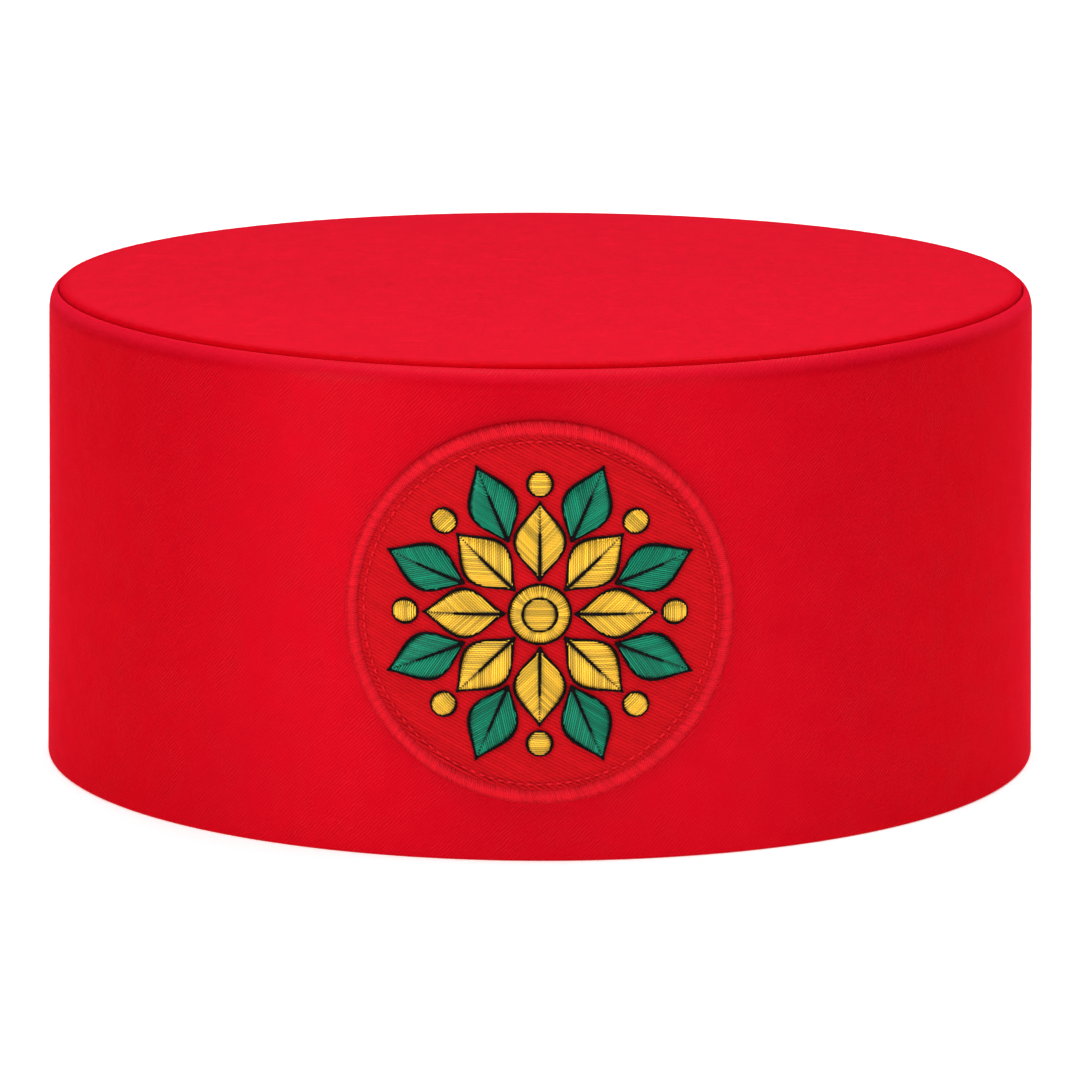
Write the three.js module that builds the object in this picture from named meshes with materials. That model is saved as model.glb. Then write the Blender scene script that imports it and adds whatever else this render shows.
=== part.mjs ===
// A round pillbox cap of red satin cloth with an embroidered patch on its front.
//
// Millimetres, +Z up. The origin is the centre of the rim, on the plane that the cap rests on.
// The front, where the patch is sewn, faces -Y.

import * as THREE from 'three';

// Head size and cloth
const HEAD_CIRCUMFERENCE = 580;
const WALL = 2.0;
const SEAM_GAP = 0.3;

// How finely round shapes are faceted
const TURNS = 72;
const PATCH_TURNS = 48;
const ROUNDING_STEPS = 2;
const FOLD_STEPS = 4;
const ROLL_STEPS = 5;
const BORDER_STEPS = 6;
const LEAF_SIDES = 8;
const LEAF_STEPS = 10;
const DOT_SIDES = 12;
const DOT_STEPS = 6;

// Side band: a wall that leans in a little and folds over at the top
const RIM_RADIUS = HEAD_CIRCUMFERENCE / (2 * Math.PI) + WALL;
const SHOULDER_INSET = 1.33;
const SHOULDER_RADIUS = RIM_RADIUS - SHOULDER_INSET;
const FOLD_START = 87.3;
const FOLD_RADIUS = 2.2;
const FOLD_SWEEP = THREE.MathUtils.degToRad(55);
const LIP_RADIUS = 0.5;
const LIP_END = THREE.MathUtils.degToRad(180);
const RIM_ROUNDING = 0.5;
const TURNING_DEPTH = 2.8;
const TURNING_SLOPE = 0.8;

// How far the wall stands off its straight line, from the rim to the fold
const WALL_ROWS = [
  { share: 0.2, bulge: 0.07 },
  { share: 0.5, bulge: -0.07 },
  { share: 0.75, bulge: -0.12 },
  { share: 0.92, bulge: 0.04 },
];

// Top disc: a slightly crowned tip whose edge rolls down into the crease and turns in below it
const DISC_RISE = 0.97;
const CROWN_RISE = 0.4;
const ROLL_WIDTH = 0.9;
const SKIRT_WALL = 1.5;
const SKIRT_DEPTH = 4.2;
const SKIRT_CHAMFER = 0.8;
const CROWN_RINGS = [0.35, 0.7];

// The top edge dips at the front and, less, at the back
const FRONT_DIP = 1.13;
const BACK_DIP = 0.3;

// Patch: a slightly flattened round of twill with a raised border, curved round the band
const PATCH_RADIUS = 35.0;
const PATCH_SQUEEZE = 0.975;
const PATCH_CENTRE = 45.0;
const BORDER_WIDTH = 2.5;
const BORDER_HEIGHT = 1.7;
const GROUND_THICKNESS = 1.0;
const GROUND_ROUNDING = 0.3;
const GROUND_RINGS = [0.25, 0.5, 0.75];

// Embroidered rosette: a boss, gold petals, green sepals between them and gold knots beyond the petals
const FOLDS = 8;
const PADDING = 0.9;
const BOSS = { radius: 5.4, from: 0 };
const PETAL = { from: 6.0, to: 20.6, halfWidth: 4.5, fullest: 0.5 };
const SEPAL = { from: 14.2, to: 29.2, halfWidth: 4.3, fullest: 0.48 };
const KNOT = { radius: 2.2, from: 23.8 };
const LEAF_ROUNDNESS = 1.4;

// Finishes
const RED_SATIN = new THREE.MeshStandardMaterial({ color: 0xd9081f, roughness: 0.55, metalness: 0 });
const RED_TWILL = new THREE.MeshStandardMaterial({ color: 0xbf0f18, roughness: 0.8, metalness: 0 });
const RED_THREAD = new THREE.MeshStandardMaterial({ color: 0xd0141f, roughness: 0.5, metalness: 0 });
const GOLD_THREAD = new THREE.MeshStandardMaterial({ color: 0xe6b52f, roughness: 0.45, metalness: 0 });
const GREEN_THREAD = new THREE.MeshStandardMaterial({ color: 0x00825a, roughness: 0.45, metalness: 0 });

const cap = new THREE.Group();

function addPiece(name, geometry, material) {
  const piece = new THREE.Mesh(geometry, material);
  piece.name = name;
  cap.add(piece);
}

// Points along an arc, given its centre, radii along r and z, and the angles it runs between
function arc(centreR, centreZ, radiusR, radiusZ, start, end, steps) {
  const points = [];
  for (let i = 0; i <= steps; i += 1) {
    const angle = THREE.MathUtils.lerp(start, end, i / steps);
    points.push(new THREE.Vector2(centreR + radiusR * Math.cos(angle), centreZ + radiusZ * Math.sin(angle)));
  }
  return points;
}

// A profile of (r, z) points turned about the Z axis
function turned(profile, segments) {
  const geometry = new THREE.LatheGeometry(profile, segments);
  geometry.rotateX(Math.PI / 2);
  return geometry;
}

// Moves every vertex of a geometry by a function of its place
function reshape(geometry, move) {
  const position = geometry.getAttribute('position');
  const point = new THREE.Vector3();
  for (let i = 0; i < position.count; i += 1) {
    point.fromBufferAttribute(position, i);
    move(point);
    position.setXYZ(i, point.x, point.y, point.z);
  }
  return geometry;
}

// Radius of the band's outer face at a height
function wallRadius(height) {
  return RIM_RADIUS - SHOULDER_INSET * (height / FOLD_START);
}

// How far the top edge drops in the direction of a point
function edgeDip(point) {
  const reach = Math.hypot(point.x, point.y);
  if (reach === 0) return 0;
  const towardsFront = -point.y / reach;
  const dip = towardsFront > 0 ? FRONT_DIP : BACK_DIP;
  return dip * towardsFront * towardsFront;
}

// Lowers a point of the band or disc with the top edge: not at all at the rim or at the disc's middle
function dipTop(point) {
  const outward = Math.min(1, Math.hypot(point.x, point.y) / creaseRadius);
  point.z -= edgeDip(point) * (point.z / FOLD_START) * outward * outward;
}

// The fold at the top of the band: a wide arc, then a tight lip that turns down into the crease
const foldCentreR = SHOULDER_RADIUS - FOLD_RADIUS;
const lipCentreR = foldCentreR + (FOLD_RADIUS - LIP_RADIUS) * Math.cos(FOLD_SWEEP);
const lipCentreZ = FOLD_START + (FOLD_RADIUS - LIP_RADIUS) * Math.sin(FOLD_SWEEP);
const lipTop = lipCentreZ + LIP_RADIUS;
const creaseRadius = lipCentreR - LIP_RADIUS;

// A quarter turn at one edge of the rim's flat
function rimRounding(centreR, start) {
  return arc(centreR, RIM_ROUNDING, RIM_ROUNDING, RIM_ROUNDING, start, start + Math.PI / 2, ROUNDING_STEPS);
}

function sideBand() {
  const turningEnd = lipCentreZ - TURNING_DEPTH;
  const profile = [
    ...rimRounding(RIM_RADIUS - RIM_ROUNDING, -Math.PI / 2),
    ...WALL_ROWS.map(
      (row) => new THREE.Vector2(wallRadius(row.share * FOLD_START) + row.bulge, row.share * FOLD_START),
    ),
    ...arc(foldCentreR, FOLD_START, FOLD_RADIUS, FOLD_RADIUS, 0, FOLD_SWEEP, FOLD_STEPS),
    ...arc(lipCentreR, lipCentreZ, LIP_RADIUS, LIP_RADIUS, FOLD_SWEEP, LIP_END, FOLD_STEPS).slice(1),
    new THREE.Vector2(creaseRadius, turningEnd),
    new THREE.Vector2(wallRadius(turningEnd) - WALL, turningEnd - TURNING_SLOPE),
    new THREE.Vector2(wallRadius(FOLD_START / 2) - WALL, FOLD_START / 2),
    ...rimRounding(RIM_RADIUS - WALL + RIM_ROUNDING, -Math.PI),
  ];
  profile.push(profile[0].clone());
  return reshape(turned(profile, TURNS), dipTop);
}

function topDisc() {
  const edge = creaseRadius - SEAM_GAP;
  const edgeTop = lipTop + DISC_RISE;
  const rollFoot = lipCentreZ;
  const rollTop = edge - ROLL_WIDTH;
  const crownAt = (r) => edgeTop + CROWN_RISE * (1 - (r / rollTop) ** 2);
  const skirtInside = edge - SKIRT_WALL;
  const skirtFoot = edgeTop - SKIRT_DEPTH;
  const rings = CROWN_RINGS.map((share) => share * rollTop);
  const profile = [
    new THREE.Vector2(0, crownAt(0) - WALL),
    ...rings.map((r) => new THREE.Vector2(r, crownAt(r) - WALL)),
    new THREE.Vector2(skirtInside - SKIRT_CHAMFER, edgeTop - WALL),
    new THREE.Vector2(skirtInside, edgeTop - WALL - SKIRT_CHAMFER),
    new THREE.Vector2(skirtInside, skirtFoot),
    new THREE.Vector2(edge, skirtFoot),
    ...arc(rollTop, rollFoot, ROLL_WIDTH, edgeTop - rollFoot, 0, Math.PI / 2, ROLL_STEPS),
    ...rings.reverse().map((r) => new THREE.Vector2(r, crownAt(r))),
    new THREE.Vector2(0, crownAt(0)),
  ];
  return reshape(turned(profile, TURNS), dipTop);
}

// Lays a point of the flat patch, x across and y up it and z off it, onto the front of the band
function ontoBand(point) {
  const height = PATCH_CENTRE + point.y * PATCH_SQUEEZE;
  const radius = wallRadius(height) + SEAM_GAP + point.z;
  const angle = point.x / RIM_RADIUS;
  point.set(radius * Math.sin(angle), -radius * Math.cos(angle), height);
}

function patchGround() {
  const edge = PATCH_RADIUS - BORDER_WIDTH - SEAM_GAP;
  const rings = GROUND_RINGS.map((share) => share * edge);
  const profile = [
    new THREE.Vector2(0, 0),
    ...rings.map((r) => new THREE.Vector2(r, 0)),
    new THREE.Vector2(edge, 0),
    new THREE.Vector2(edge, GROUND_THICKNESS - GROUND_ROUNDING),
    new THREE.Vector2(edge - GROUND_ROUNDING, GROUND_THICKNESS),
    ...rings.reverse().map((r) => new THREE.Vector2(r, GROUND_THICKNESS)),
    new THREE.Vector2(0, GROUND_THICKNESS),
  ];
  return reshape(turned(profile, PATCH_TURNS), ontoBand);
}

function patchBorder() {
  const half = BORDER_WIDTH / 2;
  const middle = PATCH_RADIUS - half;
  const foot = BORDER_HEIGHT - half;
  const profile = [
    new THREE.Vector2(middle - half, 0),
    new THREE.Vector2(middle + half, 0),
    ...arc(middle, foot, half, half, 0, Math.PI, BORDER_STEPS),
  ];
  profile.push(profile[0].clone());
  return reshape(turned(profile, PATCH_TURNS), ontoBand);
}

// Lays a padded shape of the rosette, with its axis along +Y, on the twill in the direction of a bearing
function onRosette(geometry, bearing) {
  geometry.rotateZ(-bearing);
  geometry.translate(0, 0, GROUND_THICKNESS + SEAM_GAP);
  return reshape(geometry, ontoBand);
}

// A padded leaf: pointed at both ends, flat below and domed above
function leaf({ from, to, halfWidth, fullest }, bearing) {
  const power = Math.log(0.5) / Math.log(fullest);
  const geometry = new THREE.SphereGeometry(1, LEAF_SIDES, LEAF_STEPS);
  reshape(geometry, (point) => {
    const share = (point.y + 1) / 2;
    const around = Math.hypot(point.x, point.z) || 1;
    const fullness = Math.max(0, Math.sin(Math.PI * share ** power)) ** LEAF_ROUNDNESS;
    const across = halfWidth * fullness * (point.x / around);
    const above = PADDING * Math.sqrt(fullness) * Math.max(0, point.z / around);
    point.set(across, THREE.MathUtils.lerp(from, to, share), above);
  });
  return onRosette(geometry, bearing);
}

// A padded round dot: flat below and domed above
function dot({ radius, from }, bearing) {
  const geometry = new THREE.SphereGeometry(1, DOT_SIDES, DOT_STEPS);
  geometry.rotateX(Math.PI / 2);
  reshape(geometry, (point) => {
    const above = PADDING * Math.max(0, point.z);
    point.set(radius * point.x, from + radius * point.y, above);
  });
  return onRosette(geometry, bearing);
}

addPiece('side_band', sideBand(), RED_SATIN);
addPiece('top_disc', topDisc(), RED_SATIN);
addPiece('patch_ground', patchGround(), RED_TWILL);
addPiece('patch_border', patchBorder(), RED_THREAD);
addPiece('boss', dot(BOSS, 0), GOLD_THREAD);
for (let i = 0; i < FOLDS; i += 1) {
  const onAxis = (2 * Math.PI * i) / FOLDS;
  const between = onAxis + Math.PI / FOLDS;
  addPiece(`petal_${i + 1}`, leaf(PETAL, onAxis), GOLD_THREAD);
  addPiece(`sepal_${i + 1}`, leaf(SEPAL, between), GREEN_THREAD);
  addPiece(`knot_${i + 1}`, dot(KNOT, onAxis), GOLD_THREAD);
}

export default cap;
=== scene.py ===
"""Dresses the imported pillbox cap: red satin, a twill patch and a satin-stitched rosette. Metres, +Z up."""

import logging
import math
from collections.abc import Callable, Iterable, Sequence
from dataclasses import dataclass, field, replace
from enum import Enum

import bmesh
import bpy
import numpy as np
from mathutils import Matrix, Vector


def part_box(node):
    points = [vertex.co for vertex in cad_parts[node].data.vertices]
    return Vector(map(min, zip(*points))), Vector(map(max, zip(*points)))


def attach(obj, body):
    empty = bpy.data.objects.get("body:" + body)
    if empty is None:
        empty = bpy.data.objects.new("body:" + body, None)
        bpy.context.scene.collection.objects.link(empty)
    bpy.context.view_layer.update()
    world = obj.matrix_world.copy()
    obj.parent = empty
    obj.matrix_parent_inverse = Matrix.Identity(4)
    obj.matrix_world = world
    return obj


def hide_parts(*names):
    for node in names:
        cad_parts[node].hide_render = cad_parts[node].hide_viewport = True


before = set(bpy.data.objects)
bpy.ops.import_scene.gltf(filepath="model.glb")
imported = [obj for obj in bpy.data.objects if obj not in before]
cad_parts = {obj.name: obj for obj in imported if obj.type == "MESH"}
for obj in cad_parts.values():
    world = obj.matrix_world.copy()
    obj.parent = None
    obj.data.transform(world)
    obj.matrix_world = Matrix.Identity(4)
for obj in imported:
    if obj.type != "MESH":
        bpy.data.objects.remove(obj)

Array = np.ndarray
Colour = tuple[float, float, float]
Draw = np.random.Generator
Material = bpy.types.Material
Mesh = bpy.types.Mesh
Node = bpy.types.Node
Profile = list[tuple[float, float]]
Shell = bmesh.types.BMesh
Socket = bpy.types.NodeSocket

# A range of values, and a thread's half width along the surface with its half thickness off it
Range = tuple[float, float]
Section = tuple[float, float]

LOG = logging.getLogger("pillbox_cap")
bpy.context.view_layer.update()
TURN = 2.0 * math.pi
QUARTER = math.pi / 2.0
MERGE_DISTANCE = 1e-6
WEDGES = 24
UP = np.array((0.0, 0.0, 1.0))
WHITE = (1.0, 1.0, 1.0)
RED_GLOW = (1.0, 0.025, 0.09)

# The mesh attributes that the finishes read: a mask of painted shade in the crease, a mask of painted
# highlight along the fold, the ply's twist, and the threads' own tint with painted shade added
CREASE_SHADE = "seam"
FOLD_HIGHLIGHT = "pressed"
PLY = "ply"
TINT_AND_SHADE = "tint"

# The range of the threads' own lightness
TINTS = (-1.0, 1.0)

# The types of a node group's sockets
SCALAR = "NodeSocketFloat"
VECTOR = "NodeSocketVector"


class Slot(Enum):
    """The record's material slots."""

    RED_SATIN = "red_satin"
    RED_TWILL = "red_twill"
    RED_THREAD = "red_thread"
    GOLD_THREAD = "gold_thread"
    GREEN_THREAD = "green_thread"
    BLACK_THREAD = "black_thread"


class Lie(Enum):
    """How a cloth lies, which sets the directions that its weave follows."""

    ROUND_WALL = "round wall"
    FLAT_TOP = "flat top"


class Side(Enum):
    """The two sides of a leaf's midrib."""

    RIGHT = 1.0
    LEFT = -1.0


# Shader building

@dataclass(frozen=True)
class Grain:
    """A noise: its grains in a metre along each axis, its detail and the range that it is spread over."""

    per_metre: tuple[float, float, float]
    detail: float
    span: Range | None = None


class Shader:
    """A short hand for adding, setting and linking the nodes of one tree."""

    def __init__(self, tree: bpy.types.NodeTree) -> None:
        """Takes the tree to build in."""
        self.tree = tree

    def node(self, kind: str, **settings: object) -> Node:
        """Adds a node.

        Args:
            kind: The node's Blender type.
            settings: Values for the node's own properties.

        Returns:
            The new node.
        """
        node = self.tree.nodes.new(kind)
        for name, value in settings.items():
            setattr(node, name, value)
        return node

    def feed(self, socket: Socket, value: object) -> None:
        """Links a socket to another one, or sets it to a plain value.

        Args:
            socket: The input to feed.
            value: The output to link to it, or its plain value.
        """
        if isinstance(value, Socket):
            self.tree.links.new(value, socket)
        else:
            socket.default_value = value

    def fill(self, node: Node, values: dict[str, object]) -> None:
        """Feeds a node's inputs by their names."""
        for label, value in values.items():
            self.feed(node.inputs[label], value)

    def _operate(self, kind: str, operation: str, values: Iterable[object]) -> Socket:
        """Adds a node that works something out.

        Args:
            kind: The node's Blender type.
            operation: What it works out.
            values: Sockets or plain values for its inputs, in order.

        Returns:
            The socket with the result.
        """
        node = self.node(kind, operation=operation)
        for socket, value in zip(node.inputs, values):
            self.feed(socket, value)
        return node.outputs[0]

    def math(self, operation: str, *values: object) -> Socket:
        """Adds a math node and returns its value, with sockets or numbers as inputs."""
        return self._operate("ShaderNodeMath", operation, values)

    def vector(self, operation: str, *values: object) -> Socket:
        """Adds a vector math node and returns its vector, with sockets or triples as inputs."""
        return self._operate("ShaderNodeVectorMath", operation, values)

    def scale(self, colour: object, tone: Socket) -> Socket:
        """Scales a colour.

        Args:
            colour: A socket or three numbers.
            tone: The brightness that scales it.

        Returns:
            The scaled colour.
        """
        node = self.node("ShaderNodeVectorMath", operation="SCALE")
        self.feed(node.inputs[0], colour)
        self.feed(node.inputs["Scale"], tone)
        return node.outputs[0]

    def spread(self, value: Socket, low: float, high: float) -> Socket:
        """Maps a value that runs from 0 to 1 onto the range from low to high."""
        return self.math("MULTIPLY_ADD", value, high - low, low)

    def noise(self, place: Socket, grain: Grain) -> Socket:
        """Adds a noise texture.

        Args:
            place: The coordinates to read, in metres.
            grain: The noise's sizes.

        Returns:
            The noise's value, about a middle of 0.5 or spread over the grain's range.
        """
        node = self.node("ShaderNodeTexNoise")
        scaled = self.vector("MULTIPLY", place, grain.per_metre)
        self.fill(node, {"Vector": scaled, "Scale": 1.0, "Detail": grain.detail})
        value = node.outputs["Fac"]
        return self.spread(value, *grain.span) if grain.span else value

    def blend(self, share: Socket, first: object, second: object) -> Socket:
        """Mixes two colours, each a socket or four numbers.

        Args:
            share: How much of the second colour shows, from 0 to 1.
            first: The first colour.
            second: The second colour.

        Returns:
            The mixed colour.
        """
        node = self.node("ShaderNodeMix", data_type="RGBA")
        colours = [socket for socket in node.inputs if socket.type == "RGBA"]
        for socket, value in zip((node.inputs["Factor"], *colours), (share, first, second)):
            self.feed(socket, value)
        return next(socket for socket in node.outputs if socket.type == "RGBA")

    def attribute(self, name: str) -> Socket:
        """Adds a reader of a mesh attribute and returns its value."""
        return self.node("ShaderNodeAttribute", attribute_name=name).outputs["Fac"]

    def place(self) -> Socket:
        """Adds a reader of the piece's own coordinates, in metres, and returns them."""
        return self.node("ShaderNodeTexCoord").outputs["Object"]

    def parts(self, place: Socket) -> tuple[Socket, ...]:
        """Parts coordinates.

        Args:
            place: The coordinates.

        Returns:
            Their x, y and z.
        """
        node = self.node("ShaderNodeSeparateXYZ")
        self.feed(node.inputs[0], place)
        return tuple(node.outputs)


def opaque(colour: Colour) -> tuple[float, float, float, float]:
    """Returns a colour with a full alpha."""
    return (*colour, 1.0)


def new_group(name: str, inputs: dict[str, str], outputs: Iterable[str]) -> tuple[Shader, Node, Node]:
    """Makes an empty shader node group with named sockets.

    Args:
        name: The group's name.
        inputs: Socket types by input name.
        outputs: The names of its outputs, which are plain values.

    Returns:
        A shader hand for the group's tree, its input node and its output node.
    """
    tree = bpy.data.node_groups.new(name, "ShaderNodeTree")
    for label, kind in inputs.items():
        tree.interface.new_socket(label, in_out="INPUT", socket_type=kind)
    for label in outputs:
        tree.interface.new_socket(label, in_out="OUTPUT", socket_type=SCALAR)
    return Shader(tree), tree.nodes.new("NodeGroupInput"), tree.nodes.new("NodeGroupOutput")


def new_material(name: str) -> tuple[Material, Shader, Node]:
    """Makes a material.

    Args:
        name: The material's name.

    Returns:
        The material, a shader hand for its tree and its Principled node.
    """
    material = bpy.data.materials.new(name)
    material.use_nodes = True
    return material, Shader(material.node_tree), material.node_tree.nodes["Principled BSDF"]


@dataclass(frozen=True)
class Weave:
    """Woven cloth: slanted lines that come and go, crossed yarns, slub streaks, slow changes of tone and
    painted shade that follows the relief.
    """

    wander: Grain = Grain((420.0, 420.0, 1.0), 2.0)
    wander_depth: float = 9.0
    fuzz: Grain = Grain((1700.0, 1700.0, 1.0), 2.0, (-1.3, 1.3))
    fuzz_glint: float = 0.35
    shown: Grain = Grain((140.0, 140.0, 1.0), 1.0, (0.1, 1.3))
    line_relief: float = 0.9
    yarn_relief: float = 0.35
    streaks: Grain = Grain((110.0, 1500.0, 1.0), 1.0)
    slub_start: float = 0.66
    slub_relief: float = 6.0
    slub_glint: float = 4.0
    blotches: Grain = Grain((45.0, 60.0, 1.0), 3.0, (0.95, 1.05))
    mottling: Grain = Grain((420.0, 130.0, 1.0), 3.0, (-0.14, 0.14))
    # Painted shade: how much the colour follows the relief, darker in the weave's hollows
    relief_shade: float = 0.035

    def build(self) -> bpy.types.NodeTree:
        """Builds the node group.

        Returns:
            The group's tree.
        """
        inputs = {"Place": VECTOR, "Lines": SCALAR, "Slubs": SCALAR, "Mottle": SCALAR}
        shader, given, made = new_group("woven_cloth", inputs, ("Height", "Tone", "Glint"))
        place, lines, slubs, mottle = (given.outputs[label] for label in inputs)
        x, y, _ = shader.parts(place)
        turns = shader.math("MULTIPLY", lines, TURN)
        round_wave = shader.math("MULTIPLY", x, turns)
        up_wave = shader.math("MULTIPLY", y, turns)
        slant = shader.math("SUBTRACT", round_wave, up_wave)
        slant = shader.math("MULTIPLY_ADD", shader.noise(place, self.wander), self.wander_depth, slant)
        yarns = shader.math("MULTIPLY", shader.math("SINE", round_wave), shader.math("SINE", up_wave))
        fuzz = shader.noise(place, self.fuzz)
        floats = shader.math("MULTIPLY", shader.math("SINE", slant), shader.noise(place, self.shown))
        relief = shader.math("MULTIPLY_ADD", floats, self.line_relief, fuzz)
        relief = shader.math("MULTIPLY_ADD", yarns, self.yarn_relief, relief)
        streaks = shader.math("SUBTRACT", shader.noise(place, self.streaks), self.slub_start)
        slub = shader.math("MULTIPLY", shader.math("MAXIMUM", streaks, 0.0), slubs)
        shine = shader.math("MAXIMUM", shader.math("MULTIPLY_ADD", fuzz, self.fuzz_glint, floats), 0.0)
        tone = shader.noise(place, self.blotches)
        tone = shader.math("MULTIPLY_ADD", shader.noise(place, self.mottling), mottle, tone)
        # Painted shade in the hollows of the relief
        tone = shader.math("MULTIPLY_ADD", relief, self.relief_shade, tone)
        results = {
            "Height": shader.math("MULTIPLY_ADD", slub, self.slub_relief, relief),
            "Glint": shader.math("MULTIPLY_ADD", slub, self.slub_glint, shine),
            "Tone": shader.math("ADD", tone, slub),
        }
        shader.fill(made, results)
        return shader.tree


@dataclass(frozen=True)
class Ply:
    """A thread's twisted ply, with painted shade in its grooves, and the strand's own tint with painted
    shade added, from the attributes that every strand carries.
    """

    # Painted shade: how much darker the ply's grooves are
    groove_shade: float = 0.12

    def build(self) -> bpy.types.NodeTree:
        """Builds the node group.

        Returns:
            The group's tree.
        """
        inputs = {"Twist": SCALAR, "Spread": SCALAR}
        shader, given, made = new_group("thread_ply", inputs, ("Height", "Tone"))
        turns = shader.math("MULTIPLY", shader.attribute(PLY), TURN)
        groove = shader.math("MULTIPLY", shader.math("SINE", turns), given.outputs["Twist"])
        # The strand's own tint with its painted shade, then painted shade in the ply's grooves
        own = shader.math("MULTIPLY_ADD", shader.attribute(TINT_AND_SHADE), given.outputs["Spread"], 1.0)
        tone = shader.math("MULTIPLY_ADD", groove, self.groove_shade, own)
        shader.fill(made, {"Height": groove, "Tone": tone})
        return shader.tree


class CommonEffects:
    """The node groups that more than one finish uses, each built once."""

    def __init__(self) -> None:
        """Builds the groups."""
        self.weave = Weave().build()
        self.ply = Ply().build()


# What all the finishes have alike
SHEEN_ROUGHNESS = 0.4
COAT_ROUGHNESS = 0.32
COAT_IOR = 4.0

# How every cloth is rubbed and every thread is worn
RUBBING = Grain((160.0, 160.0, 1.0), 2.0, (-0.06, 0.06))
WEAR = Grain((400.0, 400.0, 400.0), 2.0)
WORN_TONES = (0.93, 1.07)
WORN_ROUGHENING = (-0.08, 0.08)


@dataclass(frozen=True)
class Finish:
    """What every finish sets on its shader's own sockets."""

    name: str
    colour: Colour
    roughness: float
    metallic: float
    specular: float
    specular_tint: Colour
    sheen: float
    sheen_tint: Colour
    coat: float
    bump: float
    bump_distance: float

    def start(self) -> tuple[Material, Shader, Node]:
        """Makes the material with its plain sockets set.

        Returns:
            The material, a shader hand for its tree and its Principled node.
        """
        material, shader, principled = new_material(self.name)
        material.diffuse_color = opaque(self.colour)
        plain = {
            "Metallic": self.metallic,
            "Specular IOR Level": self.specular,
            "Specular Tint": opaque(self.specular_tint),
            "Sheen Weight": self.sheen,
            "Sheen Roughness": SHEEN_ROUGHNESS,
            "Sheen Tint": opaque(self.sheen_tint),
            "Coat Weight": self.coat,
            "Coat Roughness": COAT_ROUGHNESS,
            "Coat IOR": COAT_IOR,
        }
        shader.fill(principled, plain)
        return material, shader, principled

    def dress(
        self, shader: Shader, principled: Node, tone: Socket, height: Socket, roughening: Socket
    ) -> None:
        """Feeds the changing sockets.

        Args:
            shader: The material's shader hand.
            principled: The material's Principled node.
            tone: A brightness round 1 that scales the colour.
            height: The surface's fine relief.
            roughening: A value round 0 that is added to the roughness.
        """
        bump = shader.node("ShaderNodeBump")
        shader.fill(bump, {"Strength": self.bump, "Distance": self.bump_distance, "Height": height})
        changing = {
            "Base Color": self.tinted(shader, tone),
            "Roughness": shader.math("ADD", roughening, self.roughness),
            "Normal": bump.outputs["Normal"],
        }
        shader.fill(principled, changing)

    def tinted(self, shader: Shader, tone: Socket) -> Socket:
        """Returns the finish's colour scaled by a tone."""
        return shader.scale(self.colour, tone)


@dataclass(frozen=True)
class ClothFinish(Finish):
    """A woven cloth whose yarns follow the way it lies."""

    lie: Lie
    lines_per_metre: float
    slubs: float
    mottle: float
    glint: float
    # The colour of the painted shade in the crease, and the colour, metallic and coat under the painted
    # highlight along the folded edge
    crease_shade_colour: Colour
    fold_highlight_colour: Colour
    fold_highlight_metallic: float
    fold_highlight_coat: float

    def build(self, effects: CommonEffects, wall_radius: float) -> Material:
        """Builds the material.

        Args:
            effects: The shared node groups.
            wall_radius: The radius that turns an angle round the cap into a length.

        Returns:
            The finished material.
        """
        material, shader, principled = self.start()
        place = self._place(shader, wall_radius)
        weave = shader.node("ShaderNodeGroup", node_tree=effects.weave)
        settings = {"Lines": self.lines_per_metre, "Slubs": self.slubs, "Mottle": self.mottle}
        shader.fill(weave, {"Place": place, **settings})
        rubbed = shader.noise(place, RUBBING)
        self.dress(shader, principled, weave.outputs["Tone"], weave.outputs["Height"], rubbed)
        # Painted shade in the crease also takes the metallic and the coat away there; the painted highlight
        # along the fold sets its own metallic and coat
        outside_crease_shade = shader.spread(shader.attribute(CREASE_SHADE), 1.0, 0.0)
        pressed = shader.attribute(FOLD_HIGHLIGHT)
        lustre = shader.spread(pressed, self.metallic, self.fold_highlight_metallic)
        gloss = shader.spread(pressed, self.coat, self.fold_highlight_coat)
        gloss = shader.math("MULTIPLY_ADD", weave.outputs["Glint"], self.glint, gloss)
        shader.feed(principled.inputs["Metallic"], shader.math("MULTIPLY", lustre, outside_crease_shade))
        shader.feed(principled.inputs["Coat Weight"], shader.math("MULTIPLY", gloss, outside_crease_shade))
        return material

    def tinted(self, shader: Shader, tone: Socket) -> Socket:
        """Colours the cloth, with a painted highlight that makes it paler along the folded edge and a
        painted shade that makes it deeper in the crease.

        Args:
            shader: The material's shader hand.
            tone: A brightness round 1 that scales the colour.

        Returns:
            The colour.
        """
        pressed = shader.blend(shader.attribute(FOLD_HIGHLIGHT), opaque(self.colour), opaque(self.fold_highlight_colour))
        shaded = shader.blend(shader.attribute(CREASE_SHADE), pressed, opaque(self.crease_shade_colour))
        return shader.scale(shaded, tone)

    def _place(self, shader: Shader, wall_radius: float) -> Socket:
        """Finds the coordinates along the cloth.

        Args:
            shader: The material's shader hand.
            wall_radius: The radius that turns an angle round the cap into a length.

        Returns:
            Metres round the wall and up it, or across the flat top.
        """
        place = shader.place()
        if self.lie is Lie.FLAT_TOP:
            return place
        x, y, z = shader.parts(place)
        angle = shader.math("ARCTAN2", x, shader.math("MULTIPLY", y, -1.0))
        joined = shader.node("ShaderNodeCombineXYZ")
        shader.fill(joined, {"X": shader.math("MULTIPLY", angle, wall_radius), "Y": z})
        return joined.outputs[0]


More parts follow.
